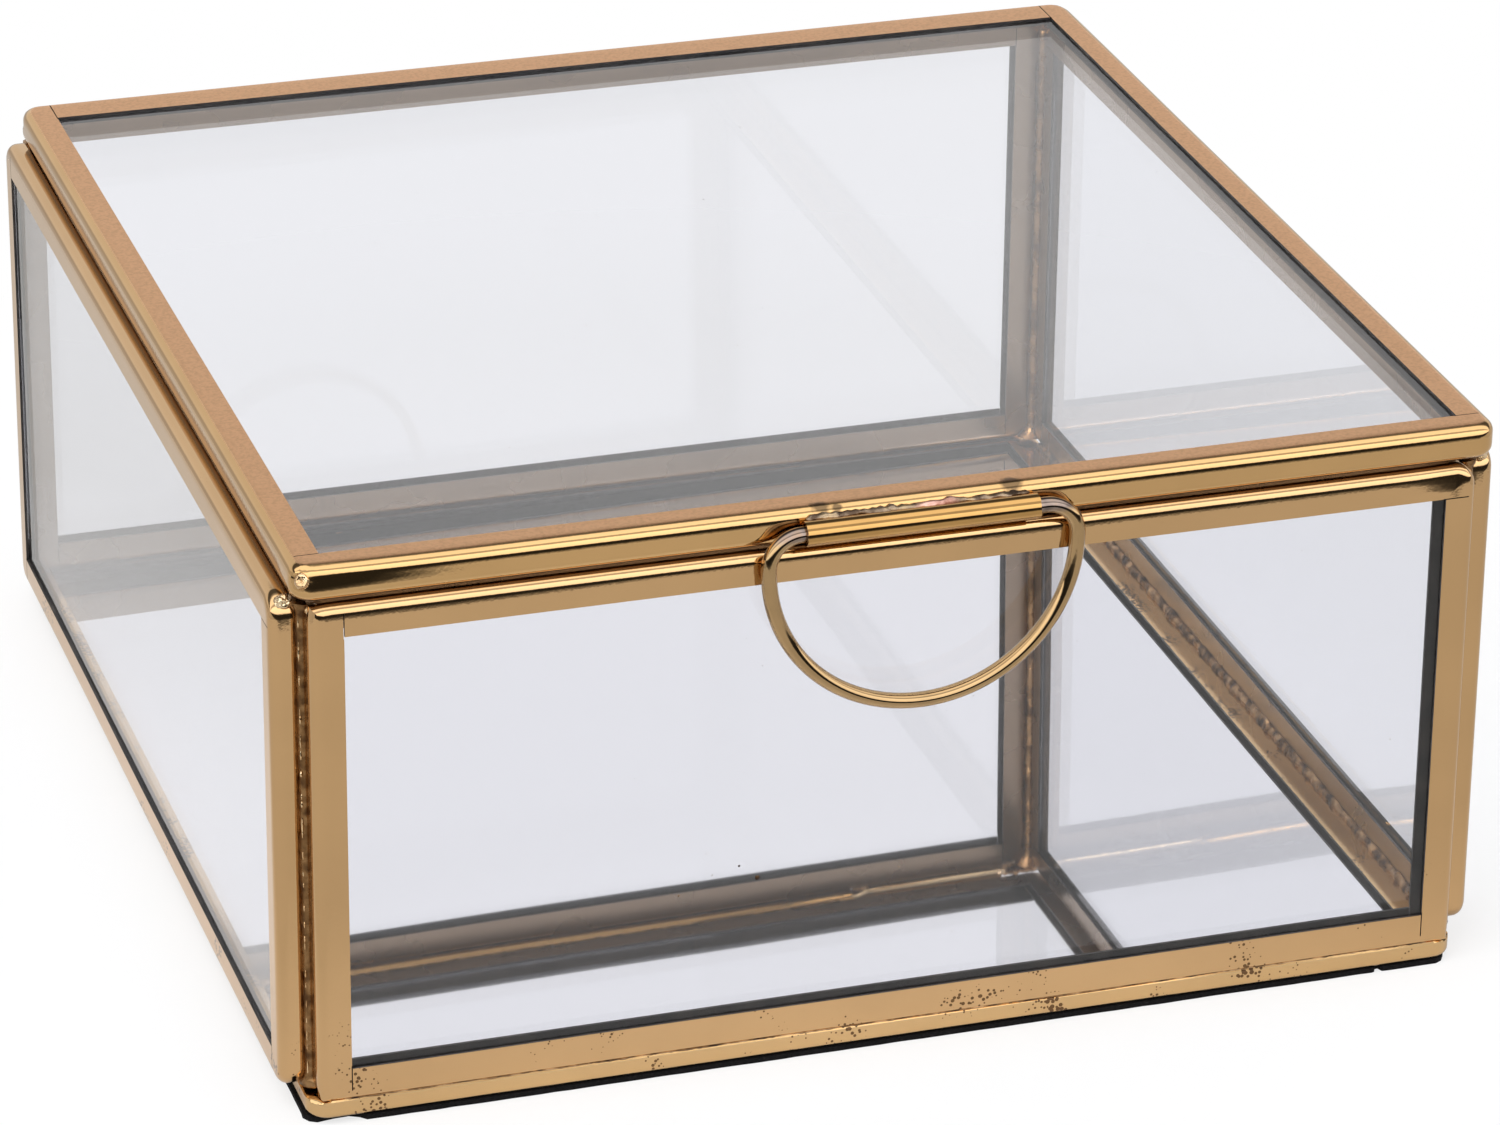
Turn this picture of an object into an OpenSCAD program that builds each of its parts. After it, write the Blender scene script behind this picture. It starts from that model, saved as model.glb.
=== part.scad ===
// Glass casket box: five clear panes and a mirror floor, each edged with a folded
// brass strip, soldered into a low box with a hinged lid and a ring pull.
// Millimetres. +Z is up and the front faces -Y. The origin is the middle of the
// face the box rests on, midway between its side panels and its front and back.

/* [Box] */
// Width over the two side panels
body_w = 120; // [90:1:170]
// Depth over the front and back panels
body_d = 125; // [90:1:170]
// Height of the four wall panels
wall_h = 51; // [36:1:90]
// Thickness of a wall panel over its edging
wall_t = 3; // [2.6:0.1:4]

/* [Base] */
// Thickness of the base panel over its edging
base_t = 2; // [1.7:0.1:3.4]
// How far the base panel stands in from each side panel's outer face
base_inset = 2.5; // [1.5:0.1:3]
// How far the base is soldered off centre, towards the right
base_shift = -0.4; // [-0.6:0.1:0.6]
// Thickness of the black backing sheet under the base
felt_t = 0.5; // [0.4:0.1:2]
// How far the backing sheet stands in from the front and back faces
felt_inset = 1; // [0.5:0.1:4]
// How far the hand-cut backing sheet runs past the base at each side
felt_proud = 0.3; // [0:0.1:0.8]

/* [Lid] */
// Thickness of the lid over its edging
lid_t = 3.5; // [2.8:0.1:4.5]
// How far the lid stands in from each side panel's outer face
lid_inset = 1.3; // [0.5:0.1:2.5]
// How far the lid's front edge stands behind the front panel's face
lid_setback = 0.1; // [0:0.1:1]
// How far the lid's back edge stands in front of the back panel
lid_step = 0.6; // [0.3:0.1:1.5]
// How far the lid is soldered off centre, towards the right
lid_shift = 0.3; // [-0.5:0.1:0.5]
// Air between the closed lid and the wall panels
lid_gap = 0.35; // [0.3:0.05:1]

/* [Brass edging] */
// Thickness of the brass sheet
sheet_t = 0.3; // [0.25:0.05:0.45]
// Width of the flange that laps each pane
flange_w = 3.2; // [2.8:0.1:5]
// Outer radius of the strip's two lengthwise folds
fold_r = 1.1; // [0.7:0.05:1.2]
// Radius of the edging where it turns a corner of its pane
corner_r = 2.2; // [1.6:0.1:2.6]
// Width of the seam where two flanges meet at a corner
seam_w = 0.15; // [0.1:0.05:0.3]

/* [Hinge and pull] */
// Diameter of the wire in the hinge and in the ring
wire_d = 1.5; // [1.2:0.1:2]
// Wall of the tubes that the wire turns in
tube_wall = 0.37; // [0.3:0.01:0.6]
// Radial running clearance between wire and tube
run_gap = 0.08; // [0.04:0.01:0.1]
// Length of the hinge tube
hinge_len = 70; // [40:1:80]
// Air between the hinge tube and the back panel's top
hinge_air = 0.15; // [0.1:0.05:0.4]
// Length of the pull's tube
pull_len = 22.8; // [16:0.2:28]
// How far the pull is soldered off centre, towards the right
pull_shift = 0.8; // [-2:0.1:2]
// How far the pull's tube sits below the middle of the lid's edge
pull_drop = 0.15; // [0:0.05:0.4]
// Width of the ring, between the centres of its two arms
ring_w = 30.1; // [24:0.1:36]
// Straight of each arm of the ring, between its bend and its bow
ring_arm = 0.2; // [0.1:0.1:8]
// Radius of the ring's two bends, at the wire's centre
ring_bend = 3.2; // [2:0.1:3.4]

/* [Solder] */
// Radius of the solder seam that fills each upright corner groove
seam_r = 1.05; // [0.9:0.05:1.3]
// Radius of a small solder bead
bead_r = 0.9; // [0.6:0.05:1.1]
// Radius of the blobs that hold the hinge wire to the back panel
blob_r = 1.5; // [1.2:0.1:2]

/* [Hidden] */
$fn = 48;
eps = 0.01;

// Heights
base_z = felt_t;
wall_z = base_z + base_t;
wall_top = wall_z + wall_h;
lid_z = wall_top + lid_gap;

// The front and back panels stand between the inner faces' planes of the side panels,
// and the side panels between those of the front and back.
front_w = body_w - 2 * wall_t;
side_w = body_d - 2 * wall_t;
base_w = body_w - 2 * base_inset;
base_fold_r = min(fold_r, 0.35 * base_t);

// Wire and tubes
wire_r = wire_d / 2;
bore_r = wire_r + run_gap;
tube_r = bore_r + tube_wall;

// The lid stops just in front of the back panel, and the hinge tube lies over that
// panel's top.
lid_w = body_w - 2 * lid_inset;
lid_front = -body_d / 2 + lid_setback;
lid_rear = body_d / 2 - wall_t - lid_step;
lid_d = lid_rear - lid_front;

// Joint axes, both parallel to X
hinge_y = lid_rear + tube_r;
hinge_z = wall_top + tube_r + hinge_air;
pull_y = lid_front - tube_r;
pull_z = lid_z + lid_t / 2 - pull_drop;
pull_x = pull_shift;

// A pane's edges stay clear of the rounded inside of its edging, corners included.
pane_clear = 0.08;
pane_inset = corner_r - (corner_r - fold_r) / sqrt(2) + pane_clear;

// Order of a strip's corners, seen from outside: 0 bottom left, 1 bottom right,
// 2 top right, 3 top left. At these corners the upright leg's flange laps the other's.
WALL_UPRIGHT_LAPS = [true, true, false, true];
LID_UPRIGHT_LAPS = [false, false, true, true];

BRASS = [0.76, 0.61, 0.42];
WIRE_BRASS = [0.83, 0.68, 0.42];
SOLDER = [0.62, 0.45, 0.3];
GLASS = [0.84, 0.86, 0.92, 0.35];
MIRROR = [0.72, 0.74, 0.78];
BACKING = [0.08, 0.08, 0.08];

// ---------- shared shapes ----------

// Section of a slab's rounded edge: it runs from x = 0 to x = reach, t thick.
module edge_section(reach, t, r) {
    square([reach - r, t]);
    translate([0, r]) square([reach, t - 2 * r]);
    for (y = [r, t - r]) translate([reach - r, y]) circle(r);
}

// A slab from the origin to w x h x t with rounded edges and rounded corners.
module soft_slab(w, h, t, r, corner) {
    for (c = [[0, 0, 180], [1, 0, 270], [1, 1, 0], [0, 1, 90]])
        translate([c[0] ? w - corner : corner, c[1] ? h - corner : corner, 0])
            rotate([0, 0, c[2]]) rotate_extrude(angle = 90) edge_section(corner, t, r);
    for (y = [0, 1])
        translate([y ? corner : w - corner, y ? h - corner : corner, 0])
            rotate([0, 0, y ? 0 : 180]) rotate([90, 0, 90])
                linear_extrude(w - 2 * corner) edge_section(corner, t, r);
    for (x = [0, 1])
        translate([x ? w - corner : corner, x ? h - corner : corner, 0])
            rotate([0, 0, x ? -90 : 90]) rotate([90, 0, 90])
                linear_extrude(h - 2 * corner) edge_section(corner, t, r);
    translate([corner, corner, 0]) cube([w - 2 * corner, h - 2 * corner, t]);
}

// Cut of one flange seam at a corner of the strip. It goes through both flanges,
// and through the web as well where the strip's two ends meet.
module seam_cut(w, h, t, r, corner, upright, ends_meet) {
    right = corner == 1 || corner == 2;
    top = corner >= 2;
    edge = ends_meet ? -eps : r;
    reach = flange_w + eps - edge;
    if (upright)
        translate([(right ? w - flange_w : flange_w) - seam_w / 2,
                   top ? h - edge - reach : edge, -eps])
            cube([seam_w, reach, t + 2 * eps]);
    else
        translate([right ? w - edge - reach : edge,
                   (top ? h - flange_w : flange_w) - seam_w / 2, -eps])
            cube([reach, seam_w, t + 2 * eps]);
}

// One brass strip of channel section folded round a pane of w x h, t thick overall.
module folded_strip(w, h, t, r, laps, joint) {
    difference() {
        soft_slab(w, h, t, r, corner_r);
        translate([sheet_t, sheet_t, sheet_t])
            soft_slab(w - 2 * sheet_t, h - 2 * sheet_t, t - 2 * sheet_t,
                      r - sheet_t, corner_r - sheet_t);
        translate([flange_w, flange_w, -eps])
            cube([w - 2 * flange_w, h - 2 * flange_w, t + 2 * eps]);
        for (c = [0:3]) seam_cut(w, h, t, r, c, laps[c], c == joint);
    }
}

// The pane that sits in that strip, face to face with both its flanges.
module pane(w, h, t) {
    translate([pane_inset, pane_inset, sheet_t])
        cube([w - 2 * pane_inset, h - 2 * pane_inset, t - 2 * sheet_t]);
}

// Stands a flat panel on the base: side 0 front, 1 right, 2 back, 3 left.
module as_wall(side) {
    across = side % 2 ? side_w : front_w;
    reach = side % 2 ? body_w / 2 : body_d / 2;
    rotate([0, 0, 90 * side]) translate([-across / 2, -reach + wall_t, wall_z])
        rotate([90, 0, 0]) children();
}

module wall_strip(side, joint) {
    across = side % 2 ? side_w : front_w;
    color(BRASS) as_wall(side) folded_strip(across, wall_h, wall_t, fold_r, WALL_UPRIGHT_LAPS, joint);
}

module wall_pane(side) {
    color(GLASS) as_wall(side) pane(side % 2 ? side_w : front_w, wall_h, wall_t);
}

// A round rod along X, centred on x = 0.
module x_rod(r, length) {
    rotate([0, 90, 0]) cylinder(r = r, h = length, center = true);
}

module tube(length) {
    difference() {
        x_rod(tube_r, length);
        x_rod(bore_r, length + 2 * eps);
    }
}

// A bend of wire in the XZ plane, about the origin, from one angle on by sweep.
module wire_arc(radius, from, sweep) {
    rotate([90, 0, 0]) rotate([0, 0, from]) rotate_extrude(angle = sweep)
        translate([radius, 0]) circle(wire_r);
}

// ---------- glass and mirror ----------

module lid_glass() {
    color(GLASS) translate([lid_shift - lid_w / 2, lid_front, lid_z]) pane(lid_w, lid_d, lid_t);
}

module front_glass() { wall_pane(0); }
module right_glass() { wall_pane(1); }
module back_glass() { wall_pane(2); }
module left_glass() { wall_pane(3); }

module base_mirror() {
    color(MIRROR) translate([base_shift - base_w / 2, -body_d / 2, base_z])
        pane(base_w, body_d, base_t);
}

// ---------- brass edging ----------

module lid_edging() {
    color(BRASS) translate([lid_shift - lid_w / 2, lid_front, lid_z])
        folded_strip(lid_w, lid_d, lid_t, fold_r, LID_UPRIGHT_LAPS, 0);
}

// Each wall's strip ends at the upper corner nearest the front, where the photo shows it.
module front_edging() { wall_strip(0, 3); }
module right_edging() { wall_strip(1, 3); }
module back_edging() { wall_strip(2, 3); }
module left_edging() { wall_strip(3, 2); }

module base_edging() {
    color(BRASS) translate([base_shift - base_w / 2, -body_d / 2, base_z])
        folded_strip(base_w, body_d, base_t, base_fold_r, WALL_UPRIGHT_LAPS, 3);
}

// ---------- solder ----------

// Plan of a rounded panel edge whose corner is at the origin, filling +x and +y.
module edge_plan(r, reach) {
    translate([r, 0]) square([reach, reach]);
    translate([0, r]) square([reach, reach]);
    translate([r, r]) circle(r);
}

// The upright groove between two wall panels, filled at its bottom. The seam runs on
// a little past the straight of the panels' edges, towards their rounded corners.
module corner_seam() {
    reach = 2 * seam_r + fold_r;
    sink = seam_r / 4;
    foot = 0.15 * corner_r;
    head = 0.4 * corner_r;
    color(SOLDER) translate([0, 0, wall_z + foot]) linear_extrude(wall_h - foot - head)
        difference() {
            translate([-sink, -sink]) circle(seam_r);
            mirror([0, 1]) edge_plan(fold_r, reach);
            mirror([1, 0]) edge_plan(fold_r, reach);
        }
}

module corner_solder(right, back) {
    mirror([right ? 1 : 0, 0, 0]) mirror([0, back ? 1 : 0, 0])
        translate([-front_w / 2, -side_w / 2, 0]) corner_seam();
}

module corner_solder_front_left() { corner_solder(false, false); }
module corner_solder_front_right() { corner_solder(true, false); }
module corner_solder_back_left() { corner_solder(false, true); }
module corner_solder_back_right() { corner_solder(true, true); }

// Filling of the groove between the front panel's foot and the base's edge.
module base_fill() {
    from = 0.2 * fold_r;
    to = fold_r;
    color(SOLDER) translate([-front_w / 2 + corner_r, -body_d / 2, wall_z]) rotate([90, 0, 90])
        linear_extrude(front_w - 2 * corner_r) difference() {
            translate([from, -base_fold_r]) square([to - from, base_fold_r + fold_r]);
            edge_plan(fold_r, 2 * fold_r);
            mirror([0, 1]) edge_plan(base_fold_r, 2 * fold_r);
        }
}

// Bead under the left panel, between its foot and the edge of the narrower base.
// The base's edge stands out from that panel's inner face by step.
module side_bead(step) {
    color(SOLDER) translate([-front_w / 2, side_w / 2 - corner_r, wall_z]) rotate([90, 0, 0])
        linear_extrude(side_w - 2 * corner_r) difference() {
            translate([-step / 2, 0]) circle(bead_r);
            mirror([1, 0]) edge_plan(fold_r, 2 * fold_r);
            translate([-step, 0]) mirror([0, 1]) edge_plan(base_fold_r, 2 * fold_r);
        }
}

module base_solder_front() { base_fill(); }
module base_solder_back() { mirror([0, 1, 0]) base_fill(); }
module base_solder_left() { side_bead(base_w / 2 - base_shift - front_w / 2); }
module base_solder_right() {
    mirror([1, 0, 0]) side_bead(base_w / 2 + base_shift - front_w / 2);
}

// The round bead over the meeting ends of a strip, cut to sit on its corner.
// It comes out of the corner without passing the lines of the strip's two edges.
module end_bead(w, h, t, joint) {
    right = joint == 1 || joint == 2;
    top = joint >= 2;
    color(SOLDER) difference() {
        translate([right ? w - bead_r : bead_r, top ? h - bead_r : bead_r, t / 2])
            sphere(bead_r);
        soft_slab(w, h, t, fold_r, corner_r);
    }
}

module lid_corner_bead() {
    translate([lid_shift - lid_w / 2, lid_front, lid_z]) end_bead(lid_w, lid_d, lid_t, 0);
}

module front_corner_bead() { as_wall(0) end_bead(front_w, wall_h, wall_t, 3); }
module right_corner_bead() { as_wall(1) end_bead(side_w, wall_h, wall_t, 3); }
module back_corner_bead() { as_wall(2) end_bead(front_w, wall_h, wall_t, 3); }
module left_corner_bead() { as_wall(3) end_bead(side_w, wall_h, wall_t, 2); }

// Fillet over a tube, between it and the lid's edge beside it at +Y.
module tube_fillet(length) {
    rotate([90, 0, 90]) translate([0, 0, -length / 2]) linear_extrude(length)
        difference() {
            square([tube_r, 0.9 * tube_r]);
            circle(tube_r);
        }
}

// ---------- backing sheet ----------

module base_backing() {
    w = base_w + 2 * felt_proud;
    d = body_d - 2 * felt_inset;
    color(BACKING) translate([base_shift - w / 2, -d / 2, 0]) cube([w, d, felt_t]);
}

// ---------- hinge ----------

// Beyond the tube the wire steps down at each side and lies along the back panel's
// top, where a blob of solder holds its end. The step is a lap of two straight rods.
wire_end = front_w / 2 - corner_r - blob_r;
wire_foot_z = wall_top + wire_r + 0.08;
wire_from = hinge_len / 2 + 0.4;

module hinge_tube() {
    color(BRASS) translate([lid_shift, hinge_y, hinge_z]) tube(hinge_len);
}

module hinge_tube_solder_upper() {
    color(SOLDER) translate([lid_shift, hinge_y, hinge_z]) mirror([0, 1, 0])
        tube_fillet(hinge_len - 2 * wire_d);
}

// Under the tube the solder fills the wedge between it and the lid's rounded fold.
module hinge_tube_solder_lower() {
    drop = hinge_z - lid_z;
    length = hinge_len - 2 * wire_d;
    color(SOLDER) translate([lid_shift - length / 2, hinge_y, hinge_z]) rotate([90, 0, 90])
        linear_extrude(length) difference() {
            translate([-tube_r - 0.6 * fold_r, -0.75 * drop])
                square([0.5 * tube_r + 0.6 * fold_r, 0.55 * drop]);
            circle(tube_r);
            translate([-tube_r, -drop]) mirror([1, 0]) edge_plan(fold_r, 2 * fold_r);
        }
}

module hinge_wire() {
    color(WIRE_BRASS) translate([lid_shift, hinge_y, hinge_z]) {
        x_rod(wire_r, 2 * (wire_from + wire_d));
        for (side = [-1, 1])
            translate([side * (wire_from + wire_end) / 2, 0, wire_foot_z - hinge_z])
                x_rod(wire_r, wire_end - wire_from);
    }
}

// Solder round the end of the wire, on the flat of the back panel's top.
module wire_blob(side) {
    color(SOLDER) difference() {
        translate([lid_shift + side * wire_end, body_d / 2 - wall_t / 2 - 0.2, wall_top])
            cylinder(r = blob_r - 0.1, h = 0.7 * wire_d);
        translate([lid_shift + side * (wire_end - 2 * blob_r), hinge_y, wire_foot_z])
            rotate([0, 90, 0]) cylinder(r = wire_r, h = 4 * blob_r, center = true);
    }
}

module hinge_wire_solder_left() { wire_blob(-1); }
module hinge_wire_solder_right() { wire_blob(1); }

// ---------- pull ----------

// The wire is bent to a D, and its two ends meet inside the tube.
ring_slide = 0.3;
ring_split = 0.4;
ring_straight = ring_w / 2 - ring_bend;

module pull_tube() {
    color(BRASS) translate([pull_x, pull_y, pull_z]) tube(pull_len);
}

module pull_tube_solder() {
    color(SOLDER) translate([pull_x, pull_y, pull_z]) tube_fillet(pull_len - wire_d);
}

module pull_ring() {
    color(WIRE_BRASS) translate([pull_x + ring_slide, pull_y, pull_z]) {
        for (side = [-1, 1]) {
            translate([side * (ring_straight + ring_split) / 2, 0, 0])
                x_rod(wire_r, ring_straight - ring_split);
            translate([side * ring_straight, 0, -ring_bend])
                wire_arc(ring_bend, side > 0 ? 0 : 90, 90);
            translate([side * ring_w / 2, 0, -ring_bend - ring_arm])
                cylinder(r = wire_r, h = ring_arm);
        }
        translate([0, 0, -ring_bend - ring_arm]) wire_arc(ring_w / 2, 180, 180);
    }
}

lid_glass();
front_glass();
right_glass();
back_glass();
left_glass();
base_mirror();
lid_edging();
front_edging();
right_edging();
back_edging();
left_edging();
base_edging();
corner_solder_front_left();
corner_solder_front_right();
corner_solder_back_left();
corner_solder_back_right();
base_solder_front();
base_solder_back();
base_solder_left();
base_solder_right();
lid_corner_bead();
front_corner_bead();
right_corner_bead();
back_corner_bead();
left_corner_bead();
base_backing();
hinge_tube();
hinge_tube_solder_upper();
hinge_tube_solder_lower();
hinge_wire();
hinge_wire_solder_left();
hinge_wire_solder_right();
pull_tube();
pull_tube_solder();
pull_ring();
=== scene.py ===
# %% [markdown]
# # A glass casket box
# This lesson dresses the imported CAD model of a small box: clear panes in folded brass edging, a mirror for a
# floor, a hinged lid and a wire ring to lift it by. The CAD model is the skeleton. Every piece made here is
# fitted to the box of the CAD node that it stands for, and rides on the same body, so the lid and the ring
# still move.

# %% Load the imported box
import math

import bmesh
import bpy
from mathutils import Matrix, Vector, noise


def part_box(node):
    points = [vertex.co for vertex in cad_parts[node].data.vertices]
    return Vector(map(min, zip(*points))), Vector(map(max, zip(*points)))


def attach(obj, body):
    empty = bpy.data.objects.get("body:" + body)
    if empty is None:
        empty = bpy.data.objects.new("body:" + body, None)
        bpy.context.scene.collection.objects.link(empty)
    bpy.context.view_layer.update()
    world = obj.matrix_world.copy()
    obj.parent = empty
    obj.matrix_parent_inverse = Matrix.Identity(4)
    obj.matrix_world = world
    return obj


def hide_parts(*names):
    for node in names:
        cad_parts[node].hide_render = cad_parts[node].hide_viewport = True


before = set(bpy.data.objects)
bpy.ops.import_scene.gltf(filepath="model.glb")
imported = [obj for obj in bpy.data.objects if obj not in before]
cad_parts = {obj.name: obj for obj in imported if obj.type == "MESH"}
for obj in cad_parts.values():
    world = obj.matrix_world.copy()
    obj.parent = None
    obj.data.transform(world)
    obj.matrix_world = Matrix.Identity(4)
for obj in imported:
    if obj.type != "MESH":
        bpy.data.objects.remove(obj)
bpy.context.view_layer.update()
scene = bpy.context.scene
MM = 0.001
SHARP_ANGLE = 35  # degrees between two faces whose edge stays sharp
X_AXIS, Y_AXIS, Z_AXIS = Vector((1, 0, 0)), Vector((0, 1, 0)), Vector((0, 0, 1))


def scene_object(name, data):
    thing = bpy.data.objects.new(name, data)
    scene.collection.objects.link(thing)
    return thing


def wobble(x, y, z):
    """Smooth noise, about -1 to 1: the same at the same place each run."""
    return noise.noise(Vector((x, y, z)))


def box_mm(node):
    """The low and the high corner of a CAD node's box, in mm."""
    return [Vector(corner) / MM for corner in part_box(node)]


# %% [markdown]
# ## The camera
# A photograph's camera can be found by hand, by nudging until the edges line up, or worked out from corners
# whose sizes are known. The second was done here: the box is seen from 18 degrees to its left and 25 degrees
# above, from two thirds of a metre away, through a long lens, with the camera rolled by half a degree.

# %% Place the camera
CAMERA_PLACE = Vector((-180.28, -579.33, 305.4))
LENS = 156.59
azimuth, elevation, roll = (math.radians(a) for a in (-17.691, 24.974, 0.602))
away = Vector(
    (math.sin(azimuth) * math.cos(elevation), -math.cos(azimuth) * math.cos(elevation), math.sin(elevation))
)
level_right = (-away).cross(Z_AXIS).normalized()
level_up = level_right.cross(-away)
camera_right = level_right * math.cos(roll) + level_up * math.sin(roll)
camera_up = level_up * math.cos(roll) - level_right * math.sin(roll)
camera_data = bpy.data.cameras.new("camera")
camera_data.sensor_width = 36
camera_data.lens = LENS
camera_data.clip_start = 0.01
camera = scene_object("camera", camera_data)
turned = Matrix((camera_right, camera_up, away)).transposed().to_4x4()
camera.matrix_world = Matrix.Translation(CAMERA_PLACE * MM) @ turned
scene.camera = camera
scene.view_settings.view_transform = "Standard"
print("camera is", round(camera.location.length / MM), "mm from the box")

# %% [markdown]
# ## Small helpers for node materials
# Every finish below is a node tree. Each could be spelled out node by node, but the same few steps come back in
# all of them, so each step has a helper here. They add a node with its settings, calculate, carry one range to
# another, mix two colours, and end a tree in its shader.


# %% Node helpers
def new_material(name):
    material = bpy.data.materials.new(name)
    material.use_nodes = True
    material.node_tree.nodes.clear()
    return material, material.node_tree


def add_node(tree, kind, inputs=None, **settings):
    """Adds a node. Each input is a socket to join, a number, or a colour without its alpha."""
    node = tree.nodes.new(kind)
    for key, value in settings.items():
        setattr(node, key, value)
    for key, value in (inputs or {}).items():
        socket = node.inputs[key]
        if isinstance(value, bpy.types.NodeSocket):
            tree.links.new(value, socket)
        else:
            socket.default_value = (*value, 1) if socket.type == "RGBA" else value
    return node


def object_place(tree):
    return add_node(tree, "ShaderNodeTexCoord").outputs["Object"]


def split(tree, vector):
    return add_node(tree, "ShaderNodeSeparateXYZ", {"Vector": vector}).outputs


def calculate(tree, operation, *values):
    return add_node(tree, "ShaderNodeMath", dict(enumerate(values)), operation=operation).outputs[0]


def map_range(tree, value, start=0.0, end=1.0, low=0.0, high=1.0):
    """Carries value from start..end to low..high."""
    ranges = {"Value": value, "From Min": start, "From Max": end, "To Min": low, "To Max": high}
    return add_node(tree, "ShaderNodeMapRange", ranges).outputs[0]


def small_noise(tree, coords, scale, detail):
    inputs = {"Vector": coords, "Scale": scale, "Detail": detail}
    return add_node(tree, "ShaderNodeTexNoise", inputs).outputs["Fac"]


def mix_colours(tree, share, first, second):
    """The first colour where share is 0, the second where it is 1."""
    inputs = {"Factor": share, "A": first, "B": second}
    return add_node(tree, "ShaderNodeMix", inputs, data_type="RGBA").outputs["Result"]


def ramp(tree, source, stops):
    node = add_node(tree, "ShaderNodeValToRGB", {"Fac": source})
    elements = node.color_ramp.elements
    while len(elements) > 1:
        elements.remove(elements[-1])
    for index, (place, colour) in enumerate(stops):
        element = elements[0] if index == 0 else elements.new(place)
        element.position = place
        element.color = (*colour, 1)
    return node.outputs["Color"]


def bumped(tree, height, strength, distance):
    inputs = {"Height": height, "Strength": strength, "Distance": distance}
    return add_node(tree, "ShaderNodeBump", inputs).outputs[0]


def end_tree(tree, **inputs):
    """Ends a finish in one principled shader; an input's words are joined by underscores."""
    named = {key.replace("_", " "): value for key, value in inputs.items()}
    shader = add_node(tree, "ShaderNodeBsdfPrincipled", named)
    add_node(tree, "ShaderNodeOutputMaterial", {"Surface": shader.outputs[0]})


def grey(level):
    return (level, level, level)


print("helpers for node trees are ready")

# %% [markdown]
# ## The studio
# Polished brass shows the room more than its own colour, so the room matters as much as the metal. A product
# studio has a white table that ends a little way in front of the object, a white backdrop, two soft boxes
# overhead and darkness between them. Real lamps and cards could stand round the box, but cards would block
# the other views. So the room is painted on the world by direction: an angle that runs from the front horizon
# (0) over the top (90) to the back horizon (180). Only mirror rays see those bands. What the camera sees past
# the box is plain white, through glass it is a shade greyer below the horizon, and matt surfaces get an even
# light.

# %% Paint the studio on the world
world = bpy.data.worlds.new("studio")
scene.world = world
world.use_nodes = True
sky = world.node_tree
sky.nodes.clear()
THROUGH_GLASS = (0.86, 0.865, 0.88)
WHITE = grey(1)
direction = add_node(sky, "ShaderNodeTexCoord").outputs["Generated"]
xyz = split(sky, direction)
towards_front = calculate(sky, "MULTIPLY", xyz["Y"], -1.0)
angle = calculate(sky, "ARCTAN2", xyz["Z"], towards_front)
turn = map_range(sky, angle, -math.pi, math.pi)
BANDS = [
    (-180, 0.55), (-150, 0.7), (-30, 0.62), (-23.5, 0.6), (-19, 0.08), (-14, 0.03), (2, 0.03), (8, 2.0), (42, 2.4),
    (48, 0.85), (60, 0.8), (66, 1.9), (99, 1.8), (106, 0.5), (118, 0.12), (142, 0.12), (149, 0.9), (172, 0.95),
    (180, 0.55),
]
bands = ramp(sky, turn, [((degrees + 180) / 360, grey(level)) for degrees, level in BANDS])
rays = add_node(sky, "ShaderNodeLightPath").outputs
sees_white = calculate(sky, "MAXIMUM", rays["Is Camera Ray"], rays["Is Transmission Ray"])
room = mix_colours(sky, rays["Is Glossy Ray"], (0.86, 0.86, 0.88), bands)
above = map_range(sky, xyz["Z"], -0.05, 0.05)
backdrop = calculate(sky, "MAXIMUM", rays["Is Camera Ray"], above)
white = mix_colours(sky, backdrop, THROUGH_GLASS, WHITE)
shown = mix_colours(sky, sees_white, room, white)
background = add_node(sky, "ShaderNodeBackground", {"Color": shown, "Strength": 1.0})
add_node(sky, "ShaderNodeOutputWorld", {"Surface": background.outputs[0]})
print("world bands:", len(BANDS))

# %% [markdown]
# ## The table and the key light
# The table is a small white sheet. It keeps the box's soft shadow, and for the camera it fades to the same
# white as the backdrop towards its edges, so that no edge shows. One large lamp from the upper left gives the
# shadow its direction.

# %% Lay the table and hang the lamp
TABLE_HALF = 0.19
PAPER_WHITE = grey(0.88)
table_mesh = bpy.data.meshes.new("table")
table_bm = bmesh.new()
bmesh.ops.create_grid(table_bm, x_segments=1, y_segments=1, size=TABLE_HALF)
table_bm.to_mesh(table_mesh)
table = scene_object("table", table_mesh)
table.location.z = -0.03 * MM
paper, tree = new_material("table_paper")
reach = add_node(tree, "ShaderNodeVectorMath", {0: object_place(tree)}, operation="LENGTH").outputs["Value"]
rays = add_node(tree, "ShaderNodeLightPath").outputs
lamp_falls_off = map_range(tree, reach, 0.062, 0.115, 1.0, 0.0)
dim = mix_colours(tree, lamp_falls_off, (0.6, 0.59, 0.56), PAPER_WHITE)
paper_shade = mix_colours(tree, rays["Is Glossy Ray"], PAPER_WHITE, dim)
matt = add_node(tree, "ShaderNodeBsdfDiffuse", {"Color": paper_shade})
seen_as = mix_colours(tree, rays["Is Transmission Ray"], WHITE, THROUGH_GLASS)
glow = add_node(tree, "ShaderNodeEmission", {"Color": seen_as, "Strength": 1.0})
fade = map_range(tree, reach, 0.075, 0.15, 0.7, 1.0)
direct = calculate(tree, "MAXIMUM", rays["Is Camera Ray"], rays["Is Transmission Ray"])
share = calculate(tree, "MULTIPLY", direct, fade)
mixed = add_node(tree, "ShaderNodeMixShader", {0: share, 1: matt.outputs[0], 2: glow.outputs[0]})
add_node(tree, "ShaderNodeOutputMaterial", {"Surface": mixed.outputs[0]})
table_mesh.materials.append(paper)

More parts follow.
